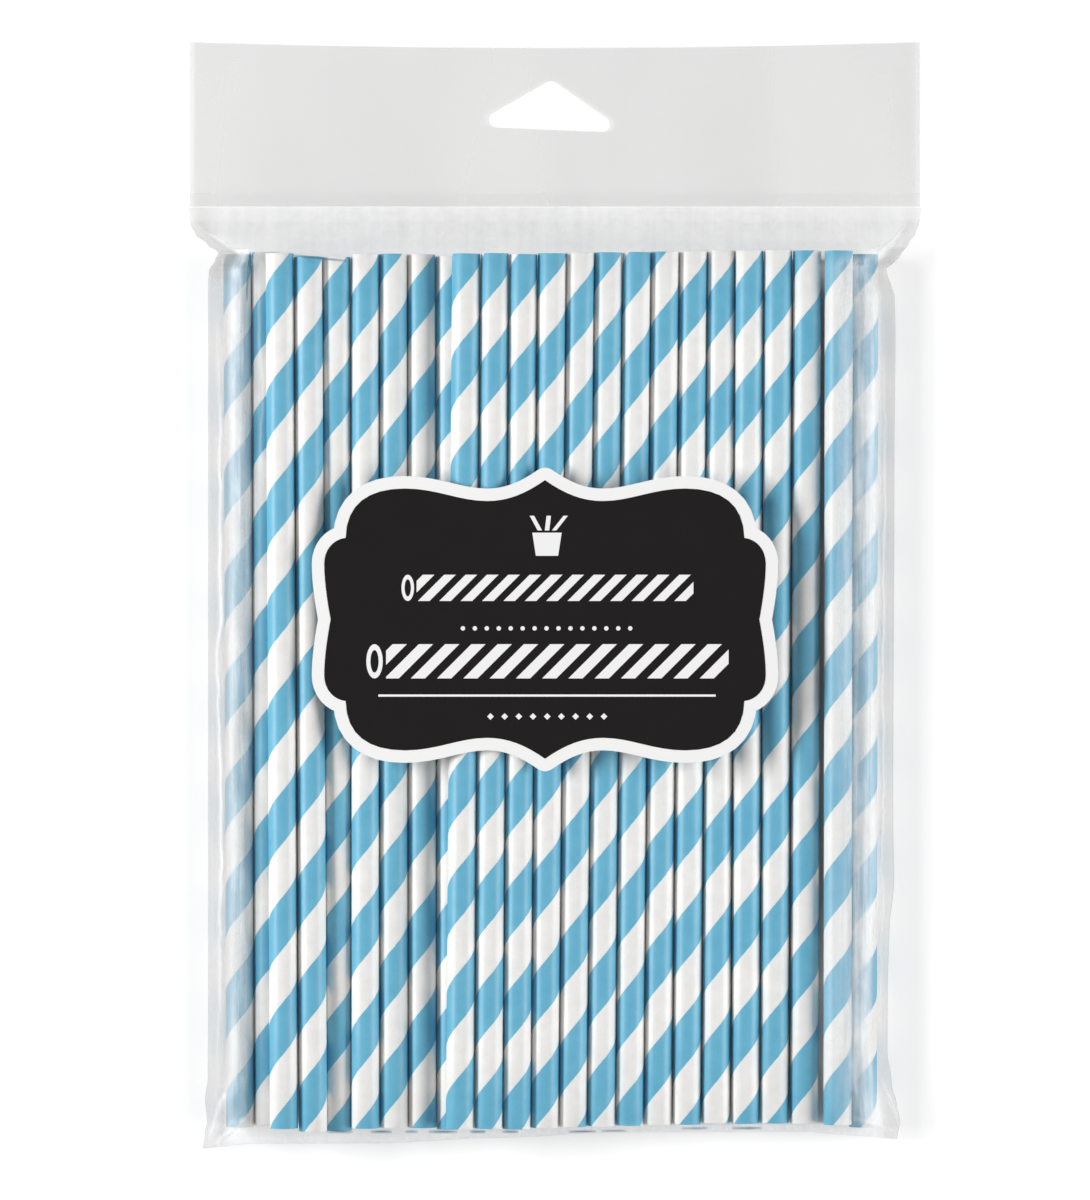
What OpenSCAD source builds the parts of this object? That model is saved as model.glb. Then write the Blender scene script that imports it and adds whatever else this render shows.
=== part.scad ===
// A retail pack of paper drinking straws: a clear film pouch with a welded header strip
// and a die-cut label, holding one squeezed layer of 24 spiral-wound straws.
// The pack lies on its back: X across it, Y towards the header, Z up out of the label.
// The origin is at the middle of the footprint, on the surface that the pack lies on.

/* [Straws] */
// Length of a straw
straw_len = 197; // [140:1:230]
// Outside diameter of a straw
straw_d = 6.35; // [5:0.05:8]
// Thickness of the wound paper wall
straw_wall = 0.45; // [0.3:0.05:0.8]
// Gap between two straws that lie side by side
straw_gap = 0.09; // [0.05:0.01:0.2]

/* [Film pouch] */
// Width of the pouch at its mouth, the widest place of the pack
pouch_w = 166; // [165:0.2:190]
// Thickness of the film
film_t = 0.12; // [0.08:0.01:0.2]
// Room in the pouch beside the layer of straws
side_slack = 3.5; // [2:0.05:6]
// Length of empty pouch between the straws and the header
head_space = 10.1; // [8:0.1:20]
// Length of pouch beyond the straws at the foot, where it is shortest
foot_space = 2.1; // [1.8:0.1:6]
// Height of the side creases above the surface
crease_z = 3; // [2:0.1:4.5]
// Width over which the front wall rounds down to the left side crease
left_round = 16; // [10:0.5:22]
// Width over which the front wall rounds down to the right side crease
right_round = 23; // [14:0.5:30]
// Width of the welded edge of the pouch
weld_w = 0.35; // [0.25:0.05:0.8]
// Play left between the film and what it touches
film_gap = 0.08; // [0.05:0.01:0.15]

/* [Header] */
// Height of the header strip above the weld line
header_h = 37.2; // [28:0.2:50]
// Thickness of the header strip
header_t = 0.25; // [0.15:0.05:0.6]
// Sag of the header's top edge at its middle
header_sag = 1.3; // [0:0.1:3]
// Length of pouch mouth that laps over the header
mouth_lap = 3; // [2:0.1:6]
// Width of the hang hole
hole_w = 27.4; // [20:0.2:40]
// Height of the hang hole
hole_h = 11; // [8:0.2:14]
// Corner radius of the hang hole
hole_r = 1.7; // [1:0.1:2.5]
// Distance from the header's top edge to the hole's peak
hole_drop = 7.5; // [5:0.1:12]
// Distance of the hang hole's middle to the left of the header's
hole_left = 1.1; // [0:0.1:3]
// Tilt of the hang hole, clockwise
hole_tilt = 2.4; // [0:0.1:5]

/* [Label] */
// Half of the width of the label's printed field
field_half_w = 49.6; // [40:0.2:60]
// Half of the height of the label's printed field, to its peaks
field_half_h = 31.3; // [24:0.2:40]
// Width of the plain edge round the printed field
label_edge = 2.8; // [1.5:0.1:5]
// Thickness of the label's card
label_t = 0.25; // [0.15:0.05:0.5]
// Thickness of the printed layer
print_t = 0.05; // [0.03:0.01:0.1]
// Thickness of the adhesive's gap between the film and the label
label_gap = 0.02; // [0.01:0.01:0.05]
// Distance from the label's middle to the pack's middle line
label_left = 2.25; // [-10:0.25:10]
// Distance of the label's middle above the straws' middle
label_up = 15.2; // [-20:0.2:30]

/* [Hidden] */
// How high each straw's axis lies above the lowest ones, in pitches, at the header end
// and at the foot end. A straw that is squeezed up rides on the one before it.
RISE_HEAD = [0, 0, 0.86, 0.76, 0.53, 0.51, 0.36, 0.21, 0.07, 0.88, 0.88, 0.86,
             0.84, 0.68, 0.5, 0.42, 0.27, 0.13, 0, 0.15, 0.2, 0.22, 0.43, 0];
RISE_FOOT = [0, 0, 0.83, 0.7, 0.2, 0.45, 0.3, 0.15, 0, 0.94, 0.83, 0.64,
             0.45, 0.32, 0.21, 0.1, 0, 0, 0, 0, 0, 0, 0.43, 0];
// Extra room after each straw, at the header end and at the foot end
ROOM_HEAD = [0, 0, 0, 0, 0, 0, 0, 0, 0, 0, 0, 0, 0, 0, 0, 0, 0, 0, 0, 0, 0.15, 0.8, 0, 0];
ROOM_FOOT = [0, 0, 0.15, 0, 0, 0, 0, 0, 0, 0, 0, 0, 0, 0, 0, 0, 0.09, 0.16, 0.18, 0.1, 0.35, 1.6, 0, 0];
// How far each straw has slid towards the foot
SLIDE = [0.9, 0.4, 0.9, 1.6, 1.6, 1, 0.9, 1, 1.4, 1, 0.9, 1.1,
         0.9, 0.7, 0.6, 0.5, 0.4, 0.3, 0, 0.1, 0, 0.1, 0.2, 0.9];

// Edge of the pouch below the header: distance below the weld line, and how the edge runs
// there. 1 is at the end of the header, 0 at the body's side, and below 0 it is drawn in by
// that share of the room beside the straws.
LEFT_PINCH = [[0, 1], [4, 0.9], [6, 0.66], [8.8, 0.02], [10.2, -0.66], [12, -0.45], [14.2, -0.05],
              [17, 0]];
RIGHT_PINCH = [[0, 1], [3.3, 0.94], [6, 0.8], [8.3, 0.55], [11.2, 0.24], [12.6, 0.05], [14.2, -0.45],
               [15.7, -0.35], [18, -0.1], [20, 0.05], [28, 0.08], [60, 0.04], [130, 0]];
// Edge of the pouch above the foot: distance above the foot edge and width beyond the body's
LEFT_EAR = [[0, 1.2], [3, 0.8], [6, 0.3], [11, 0.7], [16, 0.1], [30, 0]];
RIGHT_EAR = [[0, 0.9], [4, 1.5], [8, 0.8], [12, -0.3], [20, -1.3], [34, -1.25], [46, -0.9],
             [58, 0.2], [72, 0]];
// Foot edge: share of the way across from the left, and distance beyond its shortest place
FOOT_EDGE = [[0, 3.8], [0.08, 2.7], [0.25, 2.6], [0.42, 1.4], [0.6, 0.1], [0.86, 0],
             [0.95, 1.1], [1, 1.7]];
// Lengths over which the walls round: from the weld line down to where the side creases
// are at their full height, of the back wall from a crease, and of the front wall's corners
// beside the header
crease_run = 16;
back_round = 3.5;
mouth_round = 2;
// How full the front wall's curves are: 1 is straight and 2 a quarter of an ellipse
side_full = 1.5;
head_full = 1.1;
foot_full = 2;
// Share of the room beyond the straws' ends over which the walls close at the foot
foot_share = 0.75;
// The layer of straws lies this far to the left of the header's middle, and its foot end this
// far to the right of its head end
layer_shift = 0.95;
foot_shift = 0.65;

straw_r = straw_d / 2;
pitch = straw_d + straw_gap;
last = len(SLIDE) - 1;
// Height of the lowest straws' axes, and of the pouch's front wall on the highest ones
bed_z = film_t + film_gap + straw_r;
crest_in = bed_z + max(concat(RISE_HEAD, RISE_FOOT)) * pitch + straw_r + film_gap;
crest_out = crest_in + film_t;

// Distance between two neighbours' axes across the pack, from their rises
function step(rise, room, n) = pitch * sqrt(1 - pow(rise[n + 1] - rise[n], 2)) + room[n];
function across(rise, room, n) = n == 0 ? 0 : across(rise, room, n - 1) + step(rise, room, n - 1);
head_span = across(RISE_HEAD, ROOM_HEAD, last);
layer_w = head_span + straw_d;
layer_left = -layer_w / 2 - layer_shift;
function head_x(n) = layer_left + straw_r + across(RISE_HEAD, ROOM_HEAD, n);
function foot_x(n) = layer_left + foot_shift + straw_r + across(RISE_FOOT, ROOM_FOOT, n);

// Lengths along the pack, from the foot of the longest ear to the top of the header
pouch_len = head_space + straw_len + foot_space;
ear_len = FOOT_EDGE[0][1];
pack_len = header_h + pouch_len + ear_len;
header_top = pack_len / 2;
weld_y = header_top - header_h;
mouth_y = weld_y + mouth_lap;
straw_top = weld_y - head_space;
foot_y = straw_top - straw_len - foot_space;

header_w = pouch_w - 2 * (weld_w + film_gap);
header_z = film_t + film_gap;
lap_in = header_z + header_t + film_gap;
lap_out = lap_in + film_t;

// Grid of the pouch's walls: columns across it, and rows along it that lie closer in the
// stretches at its two ends, where the walls curve
cols = 42;
head_stretch = 34;
foot_stretch = 60;
head_rows = 10;
mid_rows = 6;
foot_rows = 9;

function ease(t) = t <= 0 ? 0 : t >= 1 ? 1 : t * t * (3 - 2 * t);
function blend(a, b, t) = a + (b - a) * t;
// Value of a list of [place, value] pairs, with a smooth run between them
function along(list, at, k = 0) =
    at <= list[0][0] ? list[0][1] :
    k >= len(list) - 1 ? list[k][1] :
    at <= list[k + 1][0] ?
        blend(list[k][1], list[k + 1][1], ease((at - list[k][0]) / (list[k + 1][0] - list[k][0]))) :
    along(list, at, k + 1);
// A taut rounded rise from 0 at an edge to 1 where the run ends
function rounded_rise(d, run, p) = pow(1 - pow(1 - min(max(d / run, 0), 1), p), 1 / p);

// Places of the columns, as shares of the way across, closer near the sides
side_focus = 0.7;
function column(i) = blend(i / cols, (1 - cos(180 * i / cols)) / 2, side_focus);
// Places of the rows, as shares of the way down from the weld line
head_focus = 1.3;
foot_focus = 2.6;
ROWS = concat(
    [for (k = [0 : head_rows]) pow(k / head_rows, head_focus) * head_stretch],
    [for (k = [1 : mid_rows - 1]) blend(head_stretch, pouch_len - foot_stretch, k / mid_rows)],
    [for (k = [foot_rows : -1 : 0]) pouch_len - pow(k / foot_rows, foot_focus) * foot_stretch]
) / pouch_len;

left_body = layer_left - side_slack;
right_body = layer_left + layer_w + side_slack;
// Place of a side edge: body is the body's side, way is -1 on the left and 1 on the right
function side_edge(body, way, pinch, ear) =
    (pinch < 0 ? body + way * pinch * side_slack : blend(body, way * pouch_w / 2, pinch)) + way * ear;

// The two skins of the film: inset from the pouch's edges, height of the front wall on the
// straws and on the header, height of the back wall, and half the height at the creases
inner_crease = 0.02;
OUTER = [0, crest_out, lap_out, 0, film_t];
INNER = [weld_w, crest_in, lap_in, film_t, inner_crease];

// One point of a skin: u runs across from the left, v down from the weld line
function wall_point(u, v, skin, front) =
    let(
        inset = skin[0],
        low = v * pouch_len,
        up = pouch_len - low,
        left = side_edge(left_body, -1, along(LEFT_PINCH, low), along(LEFT_EAR, up)) + inset,
        right = side_edge(right_body, 1, along(RIGHT_PINCH, low), along(RIGHT_EAR, up)) - inset,
        foot = foot_y - along(FOOT_EDGE, u) + inset,
        x = blend(left, right, u),
        y = blend(weld_y, foot, v),
        from_left = x - left,
        from_right = right - x,
        from_side = min(from_left, from_right),
        from_foot = y - foot,
        from_weld = weld_y - y,
        below = ease(from_weld / crease_run),
        edge_z = blend((skin[2] + skin[3]) / 2, crease_z, below),
        half = blend((skin[2] - skin[3]) / 2, skin[4], below),
        fall = rounded_rise(from_foot, foot_share * (foot_space - weld_w), foot_full),
        low_z = edge_z - half,
        high_z = edge_z + half,
        rise = min(
            rounded_rise(from_left, left_round, side_full),
            rounded_rise(from_right, right_round, side_full)
        ),
        full = high_z + (skin[1] - high_z) * rise * fall,
        flat = blend(high_z, skin[2], min(from_side / mouth_round, 1)),
        back = rounded_rise(from_side, back_round, side_full) * fall
    )
    [x, y, front ?
        blend(flat, full, rounded_rise(from_weld, head_space, head_full)) :
        blend(low_z, skin[3], back)];

// A point of the mouth, which lies flat round the header
function mouth_point(u, skin, front) =
    let(left = skin[0] - pouch_w / 2)
    [blend(left, -left, u), mouth_y, front ? skin[2] : skin[3]];

// A closed loop of one skin's points round the pouch, at row j, with row -1 at the mouth
function skin_loop(j, skin) = [
    for (k = [0 : 2 * cols + 1])
        let(
            front = k <= cols,
            u = column(front ? k : 2 * cols + 1 - k)
        )
        j < 0 ? mouth_point(u, skin, front) : wall_point(u, ROWS[j], skin, front)
];

module film_bag() {
    loop_n = 2 * cols + 2;
    loops = len(ROWS) + 1;
    outer = [for (j = [-1 : len(ROWS) - 1]) each skin_loop(j, OUTER)];
    inner = [for (j = [-1 : len(ROWS) - 1]) each skin_loop(j, INNER)];
    start = loops * loop_n;
    outer_faces = [
        for (j = [0 : loops - 2], k = [0 : loop_n - 1])
            let(a = j * loop_n + k, b = j * loop_n + (k + 1) % loop_n)
            each [[a, b, b + loop_n], [a, b + loop_n, a + loop_n]]
    ];
    inner_faces = [for (f = outer_faces) [f[2] + start, f[1] + start, f[0] + start]];
    rim = [
        for (k = [0 : loop_n - 1])
            let(a = k, b = (k + 1) % loop_n)
            each [[a, start + a, start + b], [a, start + b, b]]
    ];
    foot = (loops - 1) * loop_n;
    foot_cap = [
        for (k = [0 : cols - 1])
            let(a = foot + k, b = foot + loop_n - 1 - k)
            each [[a, a + 1, b - 1], [a, b - 1, b]]
    ];
    inner_cap = [for (f = foot_cap) [f[2] + start, f[1] + start, f[0] + start]];
    color([0.93, 0.95, 0.96, 0.25])
        polyhedron(concat(outer, inner), concat(outer_faces, inner_faces, rim, foot_cap, inner_cap), 6);
}

// Corner of an outline rounded by an arc that swings from one edge's outward normal to the next
function normal_angle(a, b) = atan2(b[1] - a[1], b[0] - a[0]) - 90;
function rounded_outline(points, r, steps = 8) = [
    for (k = [0 : len(points) - 1])
        let(
            n = len(points),
            here = points[k],
            first = normal_angle(points[(k + n - 1) % n], here),
            turn = (normal_angle(here, points[(k + 1) % n]) - first + 720) % 360
        )
        for (s = [0 : steps])
            here + r * [cos(first + turn * s / steps), sin(first + turn * s / steps)]
];

// Hang hole: a flat triangle with its peak towards the top edge
module hang_hole() {
    half = hole_w / 2 - hole_r;
    tall = hole_h - 2 * hole_r;
    middle = header_top - header_sag - hole_drop - hole_h / 2;
    translate([-hole_left, middle])
        rotate(-hole_tilt)
            polygon(rounded_outline([[-half, -tall / 2], [half, -tall / 2], [0, tall / 2]], hole_r));
}

module header() {
    half = header_w / 2;
    sag_steps = 12;
    top_edge = [
        for (s = [0 : sag_steps])
            let(t = 1 - 2 * s / sag_steps)
            [half * t, header_top - header_sag * (1 - t * t)]
    ];
    color([0.88, 0.88, 0.88, 0.6])
        translate([0, 0, header_z])
            linear_extrude(header_t)
                difference() {
                    polygon(concat([[-half, weld_y], [half, weld_y]], top_edge));
                    hang_hole();
                }
}

// Points of a cubic curve between two ends with two handles, without its last point
function curve(a, b, c, d, steps = 8) = [
    for (s = [0 : steps - 1])
        let(t = s / steps, r = 1 - t)
        r * r * r * a + 3 * r * r * t * b + 3 * r * t * t * c + t * t * t * d
];

// A quarter of the printed field's outline as shares of its half width and half height:
// from the peak at the top down a hollow, over a round shoulder, in at a notch and down a
// bulging side to a shallow nick at half height
QUARTER = concat(
    curve([0, 1], [0.09, 0.9], [0.17, 0.85], [0.262, 0.85]),
    curve([0.262, 0.85], [0.39, 0.85], [0.49, 0.94], [0.635, 0.94]),
    curve([0.635, 0.94], [0.8, 0.94], [0.9, 0.83], [0.903, 0.586]),
    curve([0.903, 0.586], [0.96, 0.575], [1, 0.5], [1, 0.4]),
    curve([1, 0.4], [1, 0.27], [0.985, 0.12], [0.971, 0])
);

function mirrored(points, sx, sy) = [for (p = points) [p[0] * sx, p[1] * sy]];
function backwards(list) = [for (k = [len(list) - 1 : -1 : 0]) list[k]];

module printed_field() {
    // Each quarter stops before the point that the next one starts with
    nick = [[0.971, 0]];
    right_up = concat(QUARTER, nick);
    outline = concat(
        backwards(right_up),
        mirrored([for (k = [1 : len(right_up) - 1]) right_up[k]], -1, 1),
        backwards(mirrored([for (k = [0 : len(right_up) - 2]) right_up[k]], -1, -1)),
        mirrored([for (k = [1 : len(right_up) - 2]) right_up[k]], 1, -1)
    );
    polygon([for (p = outline) [p[0] * field_half_w, p[1] * field_half_h]]);
}

module label() {
    middle_y = straw_top - straw_len / 2 + label_up;
    translate([-label_left, middle_y, crest_out + label_gap]) {
        color([0.97, 0.97, 0.97])
            linear_extrude(label_t)
                offset(r = label_edge, $fn = 32)
                    printed_field();
        color([0.14, 0.13, 0.13])
            translate([0, 0, label_t])
                linear_extrude(print_t)
                    printed_field();
    }
}

// One straw as a wound tube between its two ends
module straw(n) {
    head = [head_x(n), straw_top - SLIDE[n], bed_z + RISE_HEAD[n] * pitch];
    foot = [foot_x(n), straw_top - SLIDE[n] - straw_len, bed_z + RISE_FOOT[n] * pitch];
    run = foot - head;
    yaw = atan2(run[0], -run[1]);
    dip = atan2(run[2], norm([run[0], run[1]]));
    color([0.36, 0.68, 0.84])
        translate(head)
            rotate([90 - dip, 0, yaw])
                difference() {
                    cylinder(h = straw_len, d = straw_d, $fn = 48);
                    translate([0, 0, -straw_r])
                        cylinder(h = straw_len + straw_d, d = straw_d - 2 * straw_wall, $fn = 48);
                }
}

for (n = [0 : last]) {
    straw(n);
}
film_bag();
header();
label();
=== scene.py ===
# Looks for a clear header bag of striped paper straws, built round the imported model.
# Lengths are in millimetres in the settings and become metres where a mesh is made.
import math

import bmesh
import bpy
import numpy as np
from mathutils import Matrix, Vector


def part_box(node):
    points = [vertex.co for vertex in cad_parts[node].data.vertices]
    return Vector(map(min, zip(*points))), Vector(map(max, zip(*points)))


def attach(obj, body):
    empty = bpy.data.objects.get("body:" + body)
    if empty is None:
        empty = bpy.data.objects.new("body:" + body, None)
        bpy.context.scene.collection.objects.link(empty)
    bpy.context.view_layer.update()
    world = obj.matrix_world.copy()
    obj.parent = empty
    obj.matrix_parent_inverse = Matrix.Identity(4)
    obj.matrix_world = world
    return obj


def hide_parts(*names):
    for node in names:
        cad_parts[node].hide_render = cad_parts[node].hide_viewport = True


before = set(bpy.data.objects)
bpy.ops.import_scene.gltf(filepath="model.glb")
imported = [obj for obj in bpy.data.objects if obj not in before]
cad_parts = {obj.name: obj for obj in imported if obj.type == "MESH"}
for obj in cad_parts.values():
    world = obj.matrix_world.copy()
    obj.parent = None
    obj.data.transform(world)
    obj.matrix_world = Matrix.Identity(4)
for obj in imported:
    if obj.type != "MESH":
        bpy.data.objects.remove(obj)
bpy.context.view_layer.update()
mm = 0.001


# camera and light

cameraSetup = {
    "lens": 240.0,
    "sensor": 36.0,
    "middle": (-2.25, -1.13),  # the point of the pack under the middle of the picture
    "pictureHeight": 270.6,  # what the picture's height takes in at the level of the straws
    "level": 6.5,
}

lightSetup = {
    "sky": 0.28,
    # a long soft box low on the left and a wider one on the right, which leave the straws'
    # flanks bright, their tops a little darker and the gaps between them dark
    "boxes": [
        {"name": "leftBox", "place": (-1.03, 0.12, 0.525), "long": 0.6, "tall": 0.2, "power": 12.6},
        {"name": "rightBox", "place": (1.05, -0.1, 0.47), "long": 0.9, "tall": 0.45, "power": 11.0},
    ],
    "floorSize": 8.0,
    "floorDrop": 0.15,  # the floor lies this far below the pack, in millimetres
    "floorColour": 0.82,
    "floorGlow": 0.32,
    # the floor doesn't glow under the straws, where the gaps between them are dark
    "darkLow": (-71.5, -120.0),
    "darkHigh": (70.5, 76.5),
}


def clearSelection():
    bpy.ops.object.select_all(action="DESELECT")


def pick(piece):
    clearSelection()
    piece.select_set(True)
    bpy.context.view_layer.objects.active = piece


def makeCamera():
    setup = cameraSetup
    away = setup["pictureHeight"] * setup["lens"] / setup["sensor"]
    place = (setup["middle"][0] * mm, setup["middle"][1] * mm, (away + setup["level"]) * mm)
    bpy.ops.object.camera_add(location=place, rotation=(0, 0, 0))
    camera = bpy.context.object
    camera.name = "photoCamera"
    camera.data.lens = setup["lens"]
    camera.data.sensor_width = setup["sensor"]
    camera.data.sensor_fit = "AUTO"
    camera.data.clip_start = 0.01
    camera.data.clip_end = 50
    bpy.context.scene.camera = camera


def makeBoxes():
    # soft boxes that face the middle of the pack
    for box in lightSetup["boxes"]:
        bpy.ops.object.light_add(type="AREA", location=box["place"])
        lamp = bpy.context.object
        lamp.name = box["name"]
        lamp.data.shape = "RECTANGLE"
        lamp.data.size = box["long"]
        lamp.data.size_y = box["tall"]
        lamp.data.energy = box["power"]
        towards = -Vector(box["place"]).normalized()
        lamp.rotation_euler = towards.to_track_quat("-Z", "Y").to_euler()
        lamp.visible_camera = False


def seenDirectly(tree):
    # 1 for what the camera sees itself or in a mirror or glass, 0 for light that falls on things
    path = tree.nodes.new("ShaderNodeLightPath")
    direct = sums(tree, "MAXIMUM", path.outputs["Is Camera Ray"], path.outputs["Is Glossy Ray"])
    return sums(tree, "MAXIMUM", direct, path.outputs["Is Transmission Ray"])


def makeWorld():
    world = bpy.data.worlds.new("studio")
    bpy.context.scene.world = world
    world.use_nodes = True
    tree = world.node_tree
    tree.nodes.clear()
    output = tree.nodes.new("ShaderNodeOutputWorld")
    sky = tree.nodes.new("ShaderNodeBackground")
    seen = tree.nodes.new("ShaderNodeBackground")
    mix = tree.nodes.new("ShaderNodeMixShader")
    sky.inputs["Color"].default_value = (1, 1, 1, 1)
    sky.inputs["Strength"].default_value = lightSetup["sky"]
    seen.inputs["Color"].default_value = (1, 1, 1, 1)
    seen.inputs["Strength"].default_value = 1
    tree.links.new(seenDirectly(tree), mix.inputs["Fac"])
    tree.links.new(sky.outputs["Background"], mix.inputs[1])
    tree.links.new(seen.outputs["Background"], mix.inputs[2])
    tree.links.new(mix.outputs["Shader"], output.inputs["Surface"])


def makeFloor():
    level = -lightSetup["floorDrop"] * mm
    bpy.ops.mesh.primitive_plane_add(size=lightSetup["floorSize"], location=(0, 0, level))
    floor = bpy.context.object
    floor.name = "studioFloor"
    material = bpy.data.materials.new("paleFloor")
    material.use_nodes = True
    tree = material.node_tree
    shader = tree.nodes["Principled BSDF"]
    base = lightSetup["floorColour"]
    shader.inputs["Base Color"].default_value = (base, base, base, 1)
    shader.inputs["Roughness"].default_value = 0.9
    shader.inputs["Specular IOR Level"].default_value = 0.1
    shader.inputs["Emission Color"].default_value = (1, 1, 1, 1)
    parts = splitPlace(tree, objectPlace(tree))
    inside = None
    for axis, low, high in zip("XY", lightSetup["darkLow"], lightSetup["darkHigh"]):
        for edge, sign in ((low * mm, 1), (-high * mm, -1)):
            beyond = sums(tree, "MULTIPLY_ADD", parts[axis], sign, -edge)
            share = spread(tree, beyond, 0, mm)
            inside = share if inside is None else sums(tree, "MULTIPLY", inside, share)
    outside = sums(tree, "SUBTRACT", 1, inside)
    glow = sums(tree, "MULTIPLY", seenDirectly(tree), lightSetup["floorGlow"])
    feed(tree, sums(tree, "MULTIPLY", glow, outside), shader.inputs["Emission Strength"])
    floor.data.materials.append(material)


# tools for materials

def startMaterial(name):
    material = bpy.data.materials.new(name)
    material.use_nodes = True
    tree = material.node_tree
    tree.nodes.clear()
    output = tree.nodes.new("ShaderNodeOutputMaterial")
    shader = tree.nodes.new("ShaderNodeBsdfPrincipled")
    tree.links.new(shader.outputs["BSDF"], output.inputs["Surface"])
    return material, tree, shader


def feed(tree, source, socket):
    # a number or a colour is set on the socket, an output is linked to it
    if hasattr(source, "is_output"):
        tree.links.new(source, socket)
    elif source is not None:
        socket.default_value = source


def sums(tree, how, first, second=None, third=None, clamp=False):
    node = tree.nodes.new("ShaderNodeMath")
    node.operation = how
    node.use_clamp = clamp
    feed(tree, first, node.inputs[0])
    feed(tree, second, node.inputs[1])
    feed(tree, third, node.inputs[2])
    return node.outputs[0]


def spread(tree, value, low, high, lowOut=0.0, highOut=1.0, smooth=True):
    node = tree.nodes.new("ShaderNodeMapRange")
    node.interpolation_type = "SMOOTHSTEP" if smooth else "LINEAR"
    feed(tree, value, node.inputs["Value"])
    node.inputs["From Min"].default_value = low
    node.inputs["From Max"].default_value = high
    node.inputs["To Min"].default_value = lowOut
    node.inputs["To Max"].default_value = highOut
    return node.outputs[0]


def mixColours(tree, share, first, second):
    node = tree.nodes.new("ShaderNodeMix")
    node.data_type = "RGBA"
    feed(tree, share, node.inputs[0])
    feed(tree, first, node.inputs[6])
    feed(tree, second, node.inputs[7])
    return node.outputs[2]


def noise(tree, vector, scale, detail=3.0, rough=0.55, stretch=None):
    if stretch:
        mapping = tree.nodes.new("ShaderNodeMapping")
        mapping.inputs["Scale"].default_value = stretch
        tree.links.new(vector, mapping.inputs["Vector"])
        vector = mapping.outputs["Vector"]
    node = tree.nodes.new("ShaderNodeTexNoise")
    tree.links.new(vector, node.inputs["Vector"])
    node.inputs["Scale"].default_value = scale
    node.inputs["Detail"].default_value = detail
    node.inputs["Roughness"].default_value = rough
    return node.outputs["Fac"]


def bump(tree, height, strength, distance):
    node = tree.nodes.new("ShaderNodeBump")
    node.inputs["Strength"].default_value = strength
    node.inputs["Distance"].default_value = distance
    tree.links.new(height, node.inputs["Height"])
    return node.outputs["Normal"]


def objectPlace(tree):
    return tree.nodes.new("ShaderNodeTexCoord").outputs["Object"]


def splitPlace(tree, vector):
    # a vector's X, Y and Z outputs
    node = tree.nodes.new("ShaderNodeSeparateXYZ")
    tree.links.new(vector, node.inputs["Vector"])
    return node.outputs


def paperGrainGroup():
    # fibres and faint blotches of uncoated paper, shared by the straws and the label
    group = bpy.data.node_groups.new("paperGrain", "ShaderNodeTree")
    group.interface.new_socket("Place", in_out="INPUT", socket_type="NodeSocketVector")
    fine = group.interface.new_socket("Fine", in_out="INPUT", socket_type="NodeSocketFloat")
    fine.default_value = 3000
    group.interface.new_socket("Shade", in_out="OUTPUT", socket_type="NodeSocketFloat")
    group.interface.new_socket("Height", in_out="OUTPUT", socket_type="NodeSocketFloat")
    start = group.nodes.new("NodeGroupInput")
    end = group.nodes.new("NodeGroupOutput")
    fibres = group.nodes.new("ShaderNodeTexNoise")
    fibres.inputs["Detail"].default_value = 4
    fibres.inputs["Roughness"].default_value = 0.7
    fibres.inputs["Distortion"].default_value = 0.6
    group.links.new(start.outputs["Place"], fibres.inputs["Vector"])
    group.links.new(start.outputs["Fine"], fibres.inputs["Scale"])
    blotches = group.nodes.new("ShaderNodeTexNoise")
    blotches.inputs["Detail"].default_value = 2
    group.links.new(start.outputs["Place"], blotches.inputs["Vector"])
    coarse = sums(group, "MULTIPLY", start.outputs["Fine"], 0.12)
    group.links.new(coarse, blotches.inputs["Scale"])
    fineShade = sums(group, "MULTIPLY_ADD", fibres.outputs["Fac"], 0.5, 0)
    shade = sums(group, "MULTIPLY_ADD", blotches.outputs["Fac"], 0.5, fineShade)
    group.links.new(shade, end.inputs["Shade"])
    group.links.new(fibres.outputs["Fac"], end.inputs["Height"])
    return group


paperGrain = paperGrainGroup()


def addGrain(tree, place, fine):
    node = tree.nodes.new("ShaderNodeGroup")
    node.node_tree = paperGrain
    tree.links.new(place, node.inputs["Place"])
    node.inputs["Fine"].default_value = fine
    return node.outputs["Shade"], node.outputs["Height"]


makeCamera()
makeWorld()
makeFloor()
makeBoxes()
view = bpy.context.scene.view_settings
view.view_transform = "Standard"
print("stage: camera, light and floor")


# straws

strawSetup = {
    "outside": 6.35,
    "wall": 0.45,
    "length": 197.0,
    "sides": 64,
    "rings": 8,
    "endRound": 0.07,
    "blue": (0.124, 0.437, 0.609, 1),
    "deepBlue": (0.104, 0.396, 0.572, 1),
    "white": (0.87, 0.86, 0.84, 1),
    "shadeWhite": (0.81, 0.80, 0.775, 1),
    "core": (0.70, 0.685, 0.655, 1),
    # a grey for the seam's line, partly the joint and partly painted shade of its groove
    "seamShadeGrey": (0.42, 0.46, 0.48, 1),
    "seamPlace": 0.985,  # in turns, just before the blue band starts
    "blueEnd": 0.497,  # the blue band runs from 0 to this share of a turn
    # where each straw's blue band starts on its top, in turns below its head end
    "bandStart": [
        0.88, 0.37, 0.12, 0.73, 0.13, 0.21, 0.62, 0.16, 0.20, 0.79, 0.87, 0.94,
        0.75, 0.32, 0.69, 0.90, 0.52, 0.25, 0.25, 0.16, 0.215, 0.58, 0.74, 0.80,
    ],
    # length of one turn of each straw's spiral
    "turnLength": [
        23.4, 23.6, 23.65, 23.65, 23.7, 23.6, 23.6, 23.75, 23.4, 23.7, 23.65, 23.5,
        23.55, 23.8, 23.7, 23.85, 23.6, 23.6, 24.2, 23.7, 23.7, 23.6, 23.75, 23.65,
    ],
}


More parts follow.
